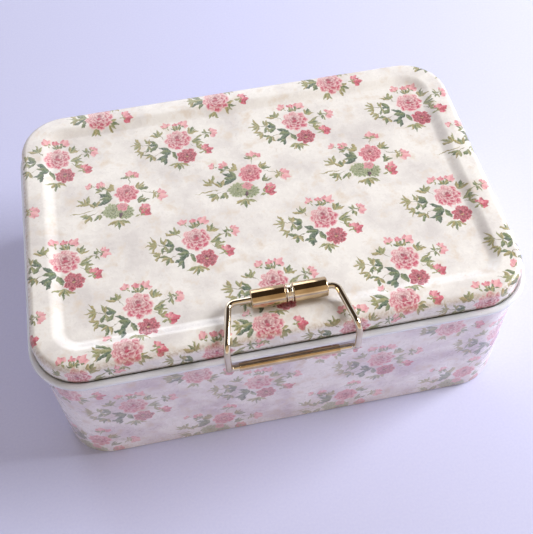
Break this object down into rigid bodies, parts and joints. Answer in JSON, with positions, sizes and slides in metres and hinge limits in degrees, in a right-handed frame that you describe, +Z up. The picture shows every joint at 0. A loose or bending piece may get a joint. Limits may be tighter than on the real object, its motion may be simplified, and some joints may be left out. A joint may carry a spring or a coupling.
{
  "type": "metal lunch box",
  "caption": "Rectangular printed tin with rounded corners, a rolled rim, a rear-hinged lid with a sunk panel, and a wire bail clasp with a turned grip at the front.",
  "frame": {"origin": "on the surface that the box stands on, under the middle of the tin's body", "axes": "+Z up, +X along the long side, the clasp on the -Y side and the hinges on the +Y side"},
  "size_m": [0.195, 0.1414, 0.0789],
  "materials": {
    "printed_tin": "off-white enamel with a printed pattern of small roses under a gloss varnish, slightly worn at the edges",
    "lacquered_tin": "bare tinplate under a thin clear lacquer, satin",
    "clasp_metal": "polished pale gold plating",
    "hinge_steel": "nickel-plated steel, satin"
  },
  "bodies": {
    "base": {"base_wall": "printed_tin", "base_collar": "lacquered_tin", "base_bottom": "lacquered_tin", "clasp_knuckle": "clasp_metal", "left_base_leaf": "hinge_steel", "left_base_rivet_a": "hinge_steel", "left_base_rivet_b": "hinge_steel", "left_hinge_pin": "hinge_steel", "right_base_leaf": "hinge_steel", "right_base_rivet_a": "hinge_steel", "right_base_rivet_b": "hinge_steel", "right_hinge_pin": "hinge_steel"},
    "lid": {"lid_shell": "printed_tin", "left_lid_leaf": "hinge_steel", "left_lid_rivet_a": "hinge_steel", "left_lid_rivet_b": "hinge_steel", "right_lid_leaf": "hinge_steel", "right_lid_rivet_a": "hinge_steel", "right_lid_rivet_b": "hinge_steel"},
    "clasp": {"clasp_bail": "clasp_metal"},
    "grip": {"grip_core": "clasp_metal", "grip_sleeve_left": "clasp_metal", "grip_sleeve_right": "clasp_metal"}
  },
  "joints": [
    {"name": "lid_hinge", "type": "hinge", "parent": "base", "child": "lid", "pos_m": [0, 0.0694, 0.063], "axis": [-1, 0, 0], "range_deg": [0, 180]},
    {"name": "clasp_pivot", "type": "hinge", "parent": "base", "child": "clasp", "pos_m": [0, -0.0669, 0.0574], "axis": [1, 0, 0], "range_deg": [0, 145]},
    {"name": "grip_roll", "type": "hinge", "parent": "clasp", "child": "grip", "pos_m": [0.0024, -0.0495, 0.07515], "axis": [1, 0, 0], "continuous": true}
  ]
}
